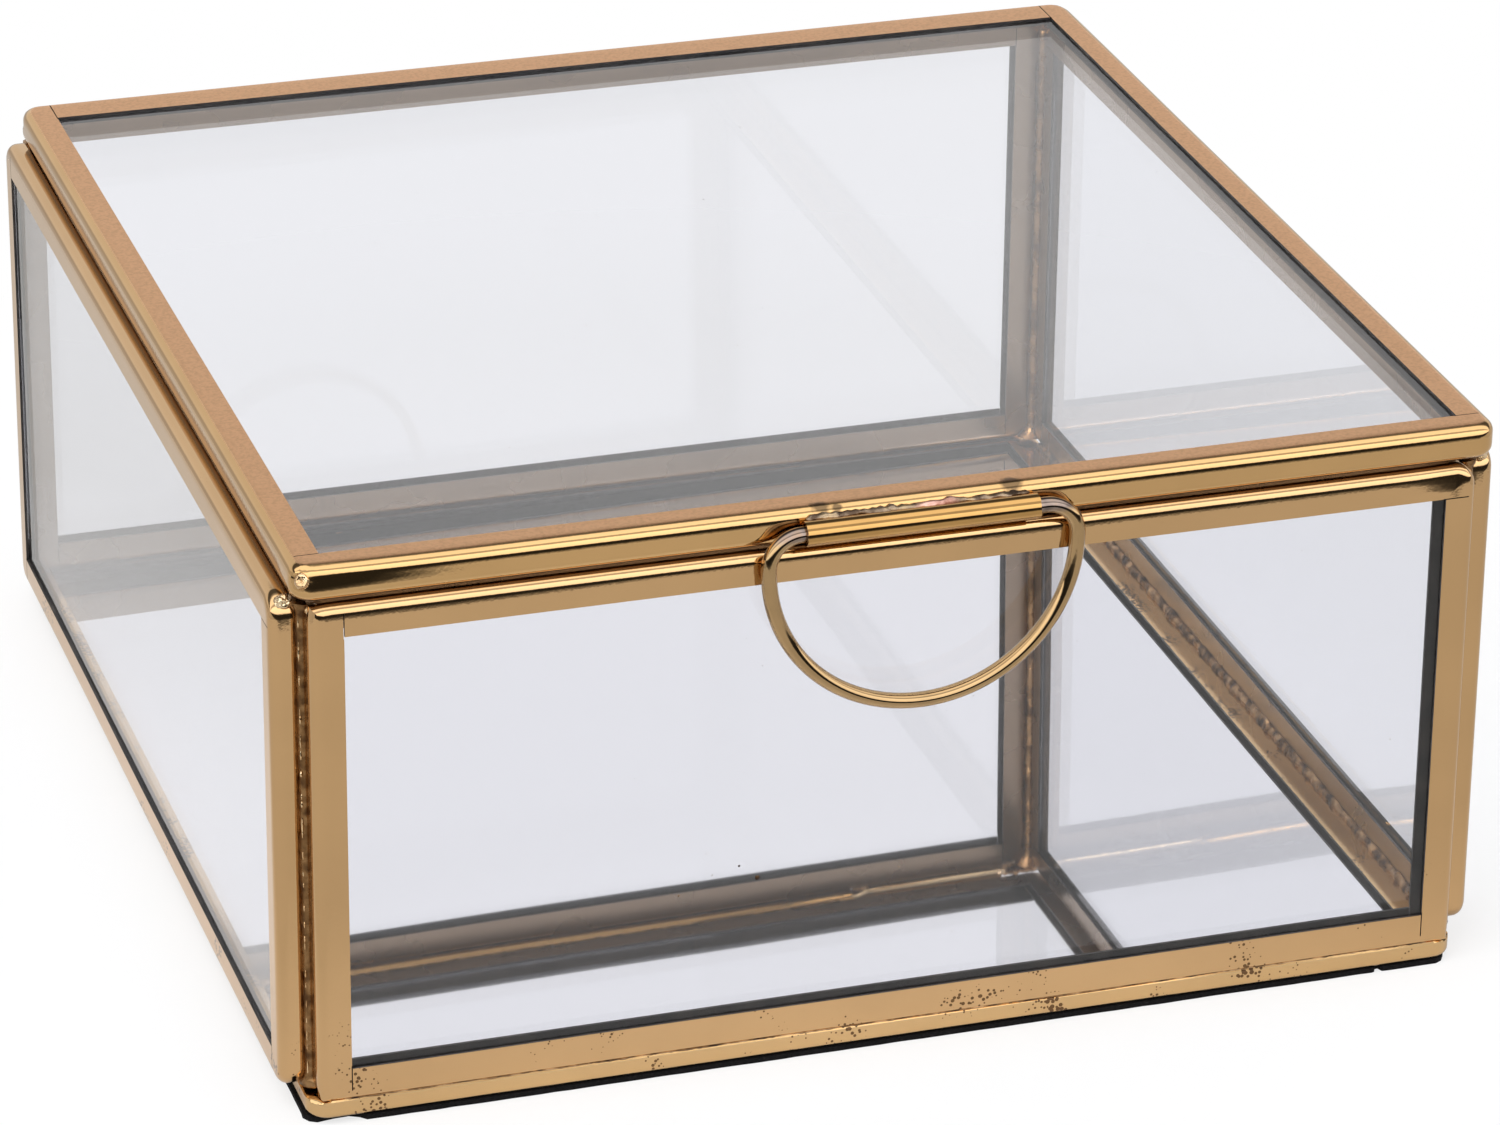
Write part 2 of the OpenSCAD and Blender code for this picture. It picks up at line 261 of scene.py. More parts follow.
lamp_data = bpy.data.lights.new("soft_box", "AREA")
lamp_data.shape = "SQUARE"
lamp_data.size = 0.6
lamp_data.energy = 6
lamp = scene_object("soft_box", lamp_data)
lamp.location = (-0.45, -0.35, 0.95)
lamp.rotation_euler = (Vector((0, 0, 0.02)) - lamp.location).to_track_quat("-Z", "Y").to_euler()
lamp.visible_glossy = False
print("table", round(2 * TABLE_HALF / MM), "mm square")

# %% [markdown]
# ## Clear glass
# Window glass of about 2.4 mm. Its tint is almost nothing in one pane, but the camera often looks through
# three panes and off the mirror, and the small tints add up to a cool grey. A pane could be a see-through
# film, but a solid with real refraction gives the dark lines along its edges by itself. Lamps reach what is
# behind it because shadow rays pass a plain transparent shader.


# %% Clear glass
def make_glass(name, tint):
    material, tree = new_material(name)
    clear = {"Base Color": tint, "Roughness": 0.0, "IOR": 1.5, "Transmission Weight": 1.0}
    body = add_node(tree, "ShaderNodeBsdfPrincipled", clear)
    open_to_lamps = add_node(tree, "ShaderNodeBsdfTransparent", {"Color": [c * 0.93 for c in tint]})
    shadow_ray = add_node(tree, "ShaderNodeLightPath").outputs["Is Shadow Ray"]
    mix = add_node(tree, "ShaderNodeMixShader", {0: shadow_ray, 1: body.outputs[0], 2: open_to_lamps.outputs[0]})
    add_node(tree, "ShaderNodeOutputMaterial", {"Surface": mix.outputs[0]})
    return material


def refinish(node, material):
    """Gives a CAD node that stays in view its own finish."""
    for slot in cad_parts[node].material_slots:
        slot.link = "OBJECT"
        slot.material = material


clear_glass = make_glass("clear_glass", (0.972, 0.973, 0.99))
side_glass = make_glass("side_glass", (0.9, 0.905, 0.935))
CLEAR_PANES, SIDE_PANES = ("lid_glass", "front_glass", "back_glass"), ("right_glass", "left_glass")
for pane in CLEAR_PANES + SIDE_PANES:
    refinish(pane, clear_glass if pane in CLEAR_PANES else side_glass)
print("panes:", len(CLEAR_PANES + SIDE_PANES))

# %% [markdown]
# ## The mirror floor
# The floor is thin mirror glass. A silvered face under clear glass would be the full truth. A plain mirror
# skin does as well here, because the glass is thin and its edges are hidden in the brass. It is a little grey
# and very faintly uneven, as cheap mirror is.

# %% Mirror
mirror_glass, tree = new_material("mirror_glass")
ripple = small_noise(tree, object_place(tree), 30.0, 1.0)
uneven = bumped(tree, ripple, 0.02, 0.0001)
end_tree(tree, Base_Color=(0.8, 0.8, 0.83), Metallic=1.0, Roughness=0.02, Normal=uneven)
print("mirror finish:", mirror_glass.name)

# %% [markdown]
# ## Brass
# The edging is thin rolled brass sheet, polished and lacquered. On the flat faces it is an even warm tan. Close
# up the polish has a fine orange peel, which gives the reflected lines their ragged edges, and there are
# freckles of dark tarnish, thickest near the foot. The lid's faces that face up are duller and more orange. The
# finish could be one flat colour, but a metal shader with small noise in its colour, roughness and bump does all
# of this. The inside of the fold, where the glass sits, is made almost black, and the faces that look into the
# box are given a darker, duller, browner brass.


# %% Brass finishes
ORANGE_PEEL = 0.25


def make_brass(name, colour, roughness, freckles=0.5, dull_top=False, burns=()):
    material, tree = new_material(name)
    coords = object_place(tree)
    cloud = small_noise(tree, coords, 90.0, 3.0)
    dark = tuple(c * 0.94 for c in colour)
    warm = ramp(tree, cloud, [(0.35, dark), (0.65, colour)])
    colour_out = mix_colours(tree, tarnish(tree, coords, freckles), warm, (0.16, 0.09, 0.045))
    rough = map_range(tree, cloud, low=roughness * 0.8, high=roughness * 1.25)
    if dull_top:
        normal = add_node(tree, "ShaderNodeNewGeometry").outputs["Normal"]
        facing_up = map_range(tree, split(tree, normal)["Z"], 0.93, 0.99)
        grain = small_noise(tree, coords, 3200.0, 2.0)
        orange = ramp(tree, grain, [(0.3, (0.7, 0.385, 0.19)), (0.6, (0.82, 0.465, 0.235))])
        colour_out = mix_colours(tree, facing_up, colour_out, orange)
        rough = map_range(tree, facing_up, low=roughness, high=0.38)
    for burn in burns:
        colour_out = mix_colours(tree, burnt(tree, coords, burn), colour_out, (0.05, 0.035, 0.025))
    peel = bumped(tree, small_noise(tree, coords, 2600.0, 2.0), ORANGE_PEEL, 0.00002)
    end_tree(tree, Base_Color=colour_out, Metallic=1.0, Roughness=rough, Normal=peel)
    return material


def tarnish(tree, coords, freckles):
    """1 inside a freckle: small cells in clusters, larger near the foot and few past the right corner."""
    cells = {"Vector": coords, "Scale": 2200.0, "Randomness": 1.0}
    spots = add_node(tree, "ShaderNodeTexVoronoi", cells).outputs["Distance"]
    grown = map_range(tree, small_noise(tree, coords, 160.0, 2.0), 0.5, 0.66)
    xyz = split(tree, coords)
    near_foot = map_range(tree, xyz["Z"], 0.004, 0.013, 0.5 * freckles, 0.07 * freckles)
    clean_right = map_range(tree, xyz["X"], 0.055, 0.057, 1.0, 0.1)
    left_of_it = calculate(tree, "MULTIPLY", near_foot, clean_right)
    return calculate(tree, "LESS_THAN", spots, calculate(tree, "MULTIPLY", grown, left_of_it))


def burnt(tree, coords, burn):
    """How far a place is burnt, by a flame at x, y, z (mm) with that radius."""
    x, y, z, radius = burn
    spot = {0: coords, 1: (x * MM, y * MM, z * MM)}
    off = add_node(tree, "ShaderNodeVectorMath", spot, operation="DISTANCE").outputs["Value"]
    smudge = small_noise(tree, coords, 900.0, 4.0)
    ragged = calculate(tree, "MULTIPLY_ADD", smudge, 1.8 * radius * MM, off)
    return map_range(tree, ragged, 1.5 * radius * MM, 2.1 * radius * MM, 0.75, 0.0)


wall_brass = make_brass("wall_brass", (0.62, 0.395, 0.195), 0.07, freckles=0.9)
inner_brass = make_brass("inner_brass", (0.34, 0.255, 0.185), 0.27, freckles=0.3)
base_brass = make_brass("base_brass", (0.66, 0.44, 0.215), 0.12, freckles=1.1)
BURNS = [(-8.4, -61.9, 57.3, 0.9), (10.0, -61.8, 57.3, 1.0), (-7.0, -62.1, 57.0, 0.5)]
lid_brass = make_brass("lid_brass", (0.62, 0.388, 0.172), 0.06, dull_top=True, burns=BURNS)

fold_inside, tree = new_material("fold_inside")
blotch = small_noise(tree, object_place(tree), 220.0, 3.0)
shade = ramp(tree, blotch, [(0.4, (0.022, 0.02, 0.02)), (0.75, (0.06, 0.05, 0.042))])
end_tree(tree, Base_Color=shade, Metallic=0.3, Roughness=0.5)
print("brass finishes:", [m.name for m in (wall_brass, inner_brass, base_brass, lid_brass)])

# %% [markdown]
# ## The folded edging
# Each pane is wrapped in one strip of brass sheet, folded to a U along its length and bent round the pane's
# corners. The web runs round the rounded corners in one piece. The two flanges can't, so the maker notches
# them, and where two of them meet a fine seam shows. The strip could be a box with a hole, but then its folds
# would be sharp. Here a closed section, outside skin and inside skin, is swept round the pane, and the
# seams are cut with thin blades.


# %% Section of the strip
WALL_FOLD, BASE_FOLD = 1.1, 0.7
SHEET, FLANGE, CORNER, SEAM = 0.27, 3.2, 2.2, 0.11


def spread(first, last, count):
    """Evenly spaced values from first to last."""
    return [first + (last - first) * k / count for k in range(count + 1)]


def strip_section(t, fold, steps=7):
    """Points (inset, height) round the folded sheet, and for each the number of its skin: 0 outside, 1 inside."""
    def arc(radius, height, first, last):
        turn = [math.radians(degrees) for degrees in spread(first, last, steps)]
        return [(fold + radius * math.cos(a), height + radius * math.sin(a)) for a in turn]

    web = [fold + (t - 2 * fold) * k / 6 for k in range(1, 6)]
    reach = spread(fold, FLANGE, 4)[1:]
    outside = [(inset, t) for inset in reversed(reach)] + arc(fold, t - fold, 90, 180)
    outside += [(0, height) for height in reversed(web)] + arc(fold, fold, 180, 270)
    outside += [(inset, 0) for inset in reach]
    inner = fold - SHEET
    inside = [(inset, SHEET) for inset in reversed(reach)] + arc(inner, fold, 270, 180)
    inside += [(SHEET, height) for height in web] + arc(inner, t - fold, 180, 90)
    inside += [(inset, t - SHEET) for inset in reach]
    return outside + inside, [0] * (len(outside) - 1) + [1] * (len(inside) + 1)


def round_pane(w, h, inset, bend_steps=8, side_step=4.0):
    """Stations round a pane at that inset, anticlockwise from its lower left corner."""
    radius = max(CORNER - inset, 0.1)
    low, right, top = inset + radius, w - inset - radius, h - inset - radius
    centres = [(low, low, 180), (right, low, 270), (right, top, 0), (low, top, 90)]
    points = []
    for index, (x, y, first) in enumerate(centres):
        for k in range(bend_steps + 1):
            a = math.radians(first + 90 * k / bend_steps)
            points.append((x + radius * math.cos(a), y + radius * math.sin(a)))
        nx, ny, start = centres[(index + 1) % 4]
        end = (nx + radius * math.cos(math.radians(start)), ny + radius * math.sin(math.radians(start)))
        count = max(2, round((w if index % 2 == 0 else h) / side_step))
        here = points[-1]
        for k in range(1, count):
            f = k / count
            points.append((here[0] + (end[0] - here[0]) * f, here[1] + (end[1] - here[1]) * f))
    return points


print("section points:", len(strip_section(3, WALL_FOLD)[0]))


# %% [markdown]
# ## Sweeping a strip round its pane
# The section could be swept by a curve object, or built leg by leg with mitred ends. Here it is swept ring by
# ring in mesh code, because each ring can then be moved a little, as a strip bent by hand is. A thin blade cut
# from the flanges leaves the fine dark line where one leg laps over the next.


# %% Sweep, cut and shape a strip
def blade_boxes(w, h, t, fold, laps):
    """Thin boxes (low corner, high corner) that cut the flange seams, as the maker's notches do."""
    boxes = []
    for corner, upright in enumerate(laps):
        right, top = corner in (1, 2), corner in (2, 3)
        x = (w - FLANGE) if right else FLANGE
        y = (h - FLANGE) if top else FLANGE
        if upright:
            y0, y1 = (h - FLANGE - 0.3, h - fold * 0.8) if top else (fold * 0.8, FLANGE + 0.3)
            boxes.append(((x - SEAM / 2, y0, -1), (x + SEAM / 2, y1, t + 1)))
        else:
            x0, x1 = (w - FLANGE - 0.3, w - fold * 0.8) if right else (fold * 0.8, FLANGE + 0.3)
            boxes.append(((x0, y - SEAM / 2, -1), (x1, y + SEAM / 2, t + 1)))
    return boxes


def mesh_object(name, bm, materials, smooth=True, sharp=SHARP_ANGLE):
    mesh = bpy.data.meshes.new(name)
    bmesh.ops.recalc_face_normals(bm, faces=bm.faces)
    bm.to_mesh(mesh)
    bm.free()
    for material in materials:
        mesh.materials.append(material)
    if smooth:
        mesh.shade_smooth()
        mesh.set_sharp_from_angle(angle=math.radians(sharp))
    return scene_object(name, mesh)


def join_rings(bm, here, following, material_index=0):
    """A band of faces between two closed rings of points."""
    for j in range(len(here)):
        n = (j + 1) % len(here)
        bm.faces.new((here[j], here[n], following[n], following[j])).material_index = material_index


def add_box(bm, low, high, material_index):
    corners = [
        bm.verts.new((x, y, z)) for x in (low[0], high[0]) for y in (low[1], high[1]) for z in (low[2], high[2])
    ]
    for quad in ((0, 1, 3, 2), (4, 6, 7, 5), (0, 4, 5, 1), (2, 3, 7, 6), (0, 2, 6, 4), (1, 5, 7, 3)):
        bm.faces.new([corners[k] for k in quad]).material_index = material_index


def carve(piece, cutter):
    """Cuts one mesh with another, applies it, and removes the cutter."""
    modifier = piece.modifiers.new("cut", "BOOLEAN")
    modifier.object = cutter
    modifier.solver = "EXACT"
    bpy.context.view_layer.update()
    shaped = bpy.data.meshes.new_from_object(piece.evaluated_get(bpy.context.evaluated_depsgraph_get()))
    piece.modifiers.clear()
    old = piece.data
    piece.data = shaped
    shaped.name = piece.name
    bpy.data.meshes.remove(old)
    spent = cutter.data
    bpy.data.objects.remove(cutter)
    bpy.data.meshes.remove(spent)


def wander(seed, place, scale, size):
    """A slow wander in mm along a strip."""
    return size * wobble(place * scale + seed * 17.3, seed * 5.1, 0.5)


def bend_by_hand(piece, size, seed, wave, shape):
    """Lets the web and the flanges of a strip wander, then gives it its own dents."""
    w, h, t = size
    for vertex in piece.data.vertices:
        x, y, z = vertex.co
        depth = min(x, y, w - x, h - y)
        along = x + y
        drift = wander(seed, along, 0.03, wave)
        if min(x, w - x) < min(y, h - y):
            vertex.co.x += drift if x < w / 2 else -drift
        else:
            vertex.co.y += drift if y < h / 2 else -drift
        vertex.co.z += wander(seed + 3, along, 0.05, 0.04) * (1 if z > t / 2 else -1) * min(1, depth / 2)
        if shape:
            vertex.co = shape(Vector((vertex.co.x, vertex.co.y, vertex.co.z)), w, h, t)


def edge_strip(name, node, place, size, laps, fold, materials, seed, wave, shape):
    """One folded strip for a pane. place turns (across, up, outwards) in mm into the row frame in metres."""
    w, h, t = size
    section, skins = strip_section(t, fold)
    bm = bmesh.new()
    grid = [[bm.verts.new((x, y, height)) for x, y in round_pane(w, h, inset)] for inset, height in section]
    for k in range(len(grid)):
        n = (k + 1) % len(grid)
        faces_in = skins[k] == 0 and section[k][1] < fold / 2 and section[n][1] < fold / 2
        join_rings(bm, grid[k], grid[n], 2 if faces_in else skins[k])
    piece = mesh_object(name, bm, materials)
    blades = bmesh.new()
    for low, high in blade_boxes(w, h, t, fold, laps):
        add_box(blades, low, high, 1)
    carve(piece, mesh_object(name + "_blades", blades, materials, smooth=False))
    bend_by_hand(piece, size, seed, wave, shape)
    piece.data.transform(place)
    piece.data.set_sharp_from_angle(angle=math.radians(SHARP_ANGLE))
    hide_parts(node)
    return piece


def stand(node, side):
    """Where a wall's strip stands, and its size: side is front, right, back, left, or flat for lid and base."""
    low, high = (Vector(v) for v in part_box(node))
    ways = {
        "front": (X_AXIS, Z_AXIS, -Y_AXIS, (low.x, high.y, low.z)),
        "right": (Y_AXIS, Z_AXIS, X_AXIS, low),
        "back": (-X_AXIS, Z_AXIS, Y_AXIS, (high.x, low.y, low.z)),
        "left": (-Y_AXIS, Z_AXIS, -X_AXIS, (high.x, high.y, low.z)),
        "flat": (X_AXIS, Y_AXIS, Z_AXIS, low),
    }
    across, up, out, corner = (Vector(v) for v in ways[side])
    span = high - low
    size = [abs(span.dot(v)) / MM for v in (across, up, out)]
    turn = Matrix((across, up, out)).transposed().to_4x4()
    return Matrix.Translation(corner) @ turn @ Matrix.Scale(MM, 4), size


print("each strip is", SHEET, "mm sheet with flanges of", FLANGE, "mm")

# %% [markdown]
# ## What the maker's hands did to four of the strips
# The lid's rear flange is wider on top than the others, where the strip was folded off centre. Near the lid's
# front left corner the web leans back where it was pulled round the bend, so it mirrors a wedge of the dark
# room. The front panel's top strip was pressed down at its right end in the same way. Where the front panel
# stands on the base, both folds are tight, so only a fine line parts them. The back panel's top stands up a
# little under the hinge, and the base's right side stands out past its panel. Such dents could be bump in the
# material. As shape they also show in the outline and in the reflections, so the points of the mesh are moved.


# %% Shapes of single strips
LID_REAR_FLANGE, RIGHT_INNER_FLANGE = 4.7, 3.75
LEAN, LEAN_REACH = 0.26, 17
PRESSED_IN, RAISED, RAISED_HALF, STANDS_OUT = 0.2, 0.19, 56.2, 0.4


def limited(value):
    return min(max(value, 0), 1)


def bent_between(value, stops):
    """Carries value along straight stretches between pairs (from, to)."""
    for (a, ta), (b, tb) in zip(stops, stops[1:]):
        if value <= b:
            return ta + (tb - ta) * (value - a) / (b - a)
    return value


def squared(depth, rise, fold, share=1.0):
    """Sharpens a fold: depth is measured in from the web and rise down from the flange; both come back."""
    u, v = (fold - depth) / fold, (fold - rise) / fold
    if u <= 0 or v <= 0:
        return depth, rise
    grow = 1 + share * (math.hypot(u, v) / max(u, v) - 1)
    return fold * (1 - u * grow), fold * (1 - v * grow)


def shape_lid(point, w, h, t):
    x, y, z = point
    if h - y < 14 and z > t / 2:
        y = h - bent_between(h - y, [(-1, -1), (WALL_FOLD, WALL_FOLD), (FLANGE, LID_REAR_FLANGE), (14, 14)])
    if y < 1.0 and x < LEAN_REACH:
        lean = LEAN * ((LEAN_REACH - x) / LEAN_REACH) ** 1.6 * limited((z - 0.7) / 1.7) ** 2
        y += lean * (1 + 0.4 * wobble(x * 2.1, z * 2, 4.5))
    return Vector((x, y, z))


def shape_front(point, w, h, t):
    x, y, z = point
    right_end = limited((x - (w - 6.0)) / 2.5) * limited((w - 1.2 - x) / 0.8)
    if z > t / 2 and right_end > 0 and y > h - FLANGE:
        pressed = min((y - (h - FLANGE)) / (FLANGE - WALL_FOLD), 1)
        z -= PRESSED_IN * right_end * pressed**2 * (1 + 0.5 * wobble(x * 3.1, y * 3.1, 1.5))
    if z < t / 2 and w - x < 8:
        x = w - bent_between(w - x, [(-1, -1), (WALL_FOLD, WALL_FOLD), (FLANGE, RIGHT_INNER_FLANGE), (8, 8)])
    if y < CORNER and (x < CORNER or w - x < CORNER):
        left_side = x < CORNER
        across, y = squared(x if left_side else w - x, y, CORNER, 0.75)
        x = across if left_side else w - across
    if h - y < CORNER and x < CORNER:
        x, top_gap = squared(x, h - y, CORNER, 0.75)
        y = h - top_gap
    if y < WALL_FOLD and z > t - WALL_FOLD:
        y, rise = squared(y, t - z, WALL_FOLD)
        z = t - rise
    return Vector((x, y, z))


def shape_back(point, w, h, t):
    """The top edge stands up a little under the hinge, so that the tube closes the gap."""
    x, y, z = point
    middle = limited((RAISED_HALF - abs(x - w / 2)) / 0.8)
    return Vector((x, y + RAISED * middle * limited((y - (h - FLANGE)) / 2.1), z))


def shape_base(point, w, h, t):
    """The right side stands out, and the upper fold is tight."""
    x, y, z = point
    x += STANDS_OUT * limited((x - (w - 6)) / 5)
    w += STANDS_OUT
    if z > t - BASE_FOLD:
        for side in (0, 1):
            span = (w, h)[side]
            here = (x, y)[side]
            depth = min(here, span - here)
            if depth < BASE_FOLD:
                depth, rise = squared(depth, t - z, BASE_FOLD)
                moved = depth if here < span / 2 else span - depth
                x, y = (moved, y) if side == 0 else (x, moved)
                z = t - rise
                break
    return Vector((x, y, z))


print("strips with dents of their own:", len((shape_lid, shape_front, shape_back, shape_base)))

# %% [markdown]
# ## Folding the six strips
# On the real box every pane has one strip of thin sheet folded round its edge, and its two ends meet at one
# corner. Copies of one ring would be quicker, but the panes differ in size, in their laps and in their dents,
# so each strip is folded from its own line of the list.


# %% Fold the six strips
WALL_LAPS = (True, True, False, True)
LID_LAPS = (False, False, True, True)
WALL = (WALL_LAPS, WALL_FOLD, wall_brass, "box")
STRIPS = [
    ("lid_edging", "flat", LID_LAPS, WALL_FOLD, lid_brass, "lid", 0.05, shape_lid),
    ("front_edging", "front", *WALL, 0.05, shape_front),
    ("right_edging", "right", *WALL, 0.05, None),
    ("back_edging", "back", *WALL, 0.015, shape_back),
    ("left_edging", "left", *WALL, 0.05, None),
    ("base_edging", "flat", WALL_LAPS, BASE_FOLD, base_brass, "box", 0.05, shape_base),
]
for seed, (node, side, laps, fold, brass, body, wave, shape) in enumerate(STRIPS, 1):
    place, size = stand(node, side)
    finishes = [brass, fold_inside, inner_brass]
    strip = edge_strip(node.replace("edging", "strip"), node, place, size, laps, fold, finishes, seed, wave, shape)
    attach(strip, body)
    print(strip.name, [round(s, 1) for s in size], len(strip.data.polygons), "faces")

# %% [markdown]
# ## The mirror pane
# The floor's mirror lies loose in the base's channel and not quite level: its left side is lower, which shows
# in the box's reflection. Its silver is under the glass, so the mirrored picture seems to come from below the
# pane's top. The node could keep its flat top, but then every reflection would sit some millimetres off. This
# pane is a thin wedge with the height and tilt that the reflections in the photograph ask for.

# %% Lay the mirror pane
def fit_piece(piece, body, node=None):
    """Brings a piece drawn in mm into the frame's metres, with its body and the CAD node it replaces."""
    piece.data.transform(Matrix.Scale(MM, 4))
    if node:
        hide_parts(node)
    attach(piece, body)
    return piece


SILVER_HEIGHT, SILVER_TILT = 1.29, 0.0083


def mirror_pane(across=24, deep=26):
    low, high = box_mm("base_mirror")
    bm = bmesh.new()

    def layer(height):
        xs, ys = spread(low.x, high.x, across), spread(low.y, high.y, deep)
        return [[bm.verts.new((x, y, height(x, y))) for x in xs] for y in ys]

    def silver_height(x, y):
        return SILVER_HEIGHT + SILVER_TILT * x + 0.012 * wobble(x / 26, y / 26, 0.7)

    top = layer(silver_height)
    under = layer(lambda x, y: low.z)
    for j in range(deep):
        for k in range(across):
            bm.faces.new((top[j][k], top[j][k + 1], top[j + 1][k + 1], top[j + 1][k]))
            bm.faces.new((under[j][k], under[j + 1][k], under[j + 1][k + 1], under[j][k + 1]))
    for k in range(across):
        for j in (0, deep):
            bm.faces.new((top[j][k], top[j][k + 1], under[j][k + 1], under[j][k]))
    for j in range(deep):
        for k in (0, across):
            bm.faces.new((top[j][k], top[j + 1][k], under[j + 1][k], under[j][k]))
    return fit_piece(mesh_object("floor_mirror", bm, [mirror_glass], sharp=40), "box", "base_mirror")


floor_mirror = mirror_pane()
print("mirror pane:", [round(v / MM, 1) for v in floor_mirror.dimensions])

# %% [markdown]
# ## Solder
# The strips are joined with brass solder run in by hand. It browns with the heat, blackens in the deep places
# and shines where it stood up in beads. One finish mixes those three by small noise. The pull's seam has a
# coppery patch in the middle where the flame stayed longest.


# %% Solder finishes
def make_solder(name, low, middle, high, roughness, copper_at=None, grain=0.7):
    material, tree = new_material(name)
    coords = object_place(tree)
    cloud = small_noise(tree, coords, 700.0, 4.0)
    colour_out = ramp(tree, cloud, [(0.36, low), (0.5, middle), (0.64, high)])
    if copper_at:
        beside = calculate(tree, "SUBTRACT", split(tree, coords)["X"], copper_at * MM)
        close = map_range(tree, calculate(tree, "ABSOLUTE", beside), 0.0012, 0.0024, 1.0, 0.0)
        pink = ramp(tree, cloud, [(0.35, (0.3, 0.13, 0.09)), (0.62, (0.8, 0.5, 0.42))])
        colour_out = mix_colours(tree, close, colour_out, pink)
    grit = bumped(tree, small_noise(tree, coords, 2400.0, 3.0), grain, 0.00005)
    matt = map_range(tree, cloud, 0.35, 0.65, roughness * 1.6, roughness)
    end_tree(tree, Base_Color=colour_out, Metallic=1.0, Roughness=matt, Normal=grit)
    return material


seam_solder = make_solder("seam_solder", (0.05, 0.03, 0.02), (0.2, 0.115, 0.055), (0.4, 0.25, 0.13), 0.3)
groove_solder = make_solder(
    "groove_solder", (0.1, 0.05, 0.022), (0.22, 0.12, 0.05), (0.33, 0.19, 0.085), 0.22, grain=0.25
)
bead_solder = make_solder("bead_solder", (0.5, 0.32, 0.16), (0.66, 0.46, 0.26), (0.8, 0.64, 0.42), 0.1, grain=0.15)
pull_solder = make_solder(
    "pull_solder", (0.12, 0.08, 0.055), (0.32, 0.24, 0.17), (0.5, 0.37, 0.22), 0.3, copper_at=2.5
)
print("solder finishes:", seam_solder.name, bead_solder.name, pull_solder.name)

# %% [markdown]
# ## Runs of solder
# A run of solder is a rod in the joint whose thickness and line wander. It could be the CAD's plain rounded
# bar. A real run is half sunk in the joint and lumpy, so that its edges come out ragged. That is got by
# sweeping a ring of points along the joint and pushing each point in or out by noise.


# %% Sweep a lumpy run
ROD_SIDES = 14


def lumpy_rod(bm, centres, radii, side, lift, rough, seed, around=ROD_SIDES, material_index=0):
    """Rings round centres (mm); radii are (along side, along lift) at each. Both ends are closed."""
    rings = []
    for k, (centre, (ra, rb)) in enumerate(zip(centres, radii)):
        ring = []
        for j in range(around):
            a = 2 * math.pi * j / around
            spot = centre + side * (ra * math.cos(a)) + lift * (rb * math.sin(a))
            push = 1 + rough * noise.noise(spot * 1.9 + Vector((seed * 3.7, 0.3, seed)))
            ring.append(bm.verts.new(centre + (spot - centre) * push))
        rings.append(ring)
    for here, following in zip(rings, rings[1:]):
        join_rings(bm, here, following, material_index)
    for ring in (rings[0], rings[-1]):
        bm.faces.new(ring).material_index = material_index


def solder_run(
    name, node, start, end, radii, body, seed, finishes, lump=0.35, rough=0.5, beads=0, bead_side=None, plug=0.0
):
    """A run from start to end (mm), with bright beads on its bead_side and its two ends fatter by plug."""
    start, end = Vector(start), Vector(end)
    along = (end - start).normalized()
    lift = Z_AXIS if abs(along.z) < 0.5 else Y_AXIS
    side = lift.cross(along)
    length = (end - start).length
    count = max(8, int(length / 0.4))
    centres, sizes = [], []
    for k in range(count + 1):
        f = k / count
        s_along = f * length
        swell = 1 + lump * wobble(s_along * 0.55, seed * 2.3, 0.4)
        plugging = math.exp(-((min(s_along, length - s_along) / 0.9) ** 2)) if plug else 0
        swell += plug / radii[0] * plugging
        closing = math.sqrt(max(0.02, 1 - max(0, 1 - min(f, 1 - f) * length / 0.8) ** 2))
        centres.append(start + along * s_along - (bead_side or Vector()) * (0.6 * plugging))
        sizes.append((radii[0] * swell * closing, radii[1] * swell * closing))
    bm = bmesh.new()
    lumpy_rod(bm, centres, sizes, side, lift, rough, seed)
    for k in range(beads):
        spot = wobble(k * 3.31, seed, 9.1)
        f = (k + 0.5 + spot) / beads
        if not 0.02 < f < 0.98:
            continue
        fat = 0.07 + 0.14 * abs(wobble(k * 1.7, seed, 2.2))
        long = fat * (2.5 + 9 * abs(wobble(k * 2.9, seed, 5.2)))
        middle = start + along * (f * length) + bead_side * radii[0]
        steps = 8
        line = [middle + along * (long * (2 * i / steps - 1)) for i in range(steps + 1)]
        thick = [fat * math.sqrt(max(0.02, 1 - (2 * i / steps - 1) ** 2)) for i in range(steps + 1)]
        lumpy_rod(bm, line, [(r, r) for r in thick], side, lift, 0.8, seed + k, around=9, material_index=1)
    return fit_piece(mesh_object(name, bm, finishes, sharp=50), body, node)


print("a run of solder has", ROD_SIDES, "sides")

# %% [markdown]
# ## Seams in the corners and round the base
# The panels stand edge to edge, and solder was run down the groove between them: smooth and browned, with
# small bright beads where the iron stopped. A plain rod would look machined, so a rod with a wandering
# thickness is swept, and beads are set along the side that faces out. The base's grooves get thinner runs.


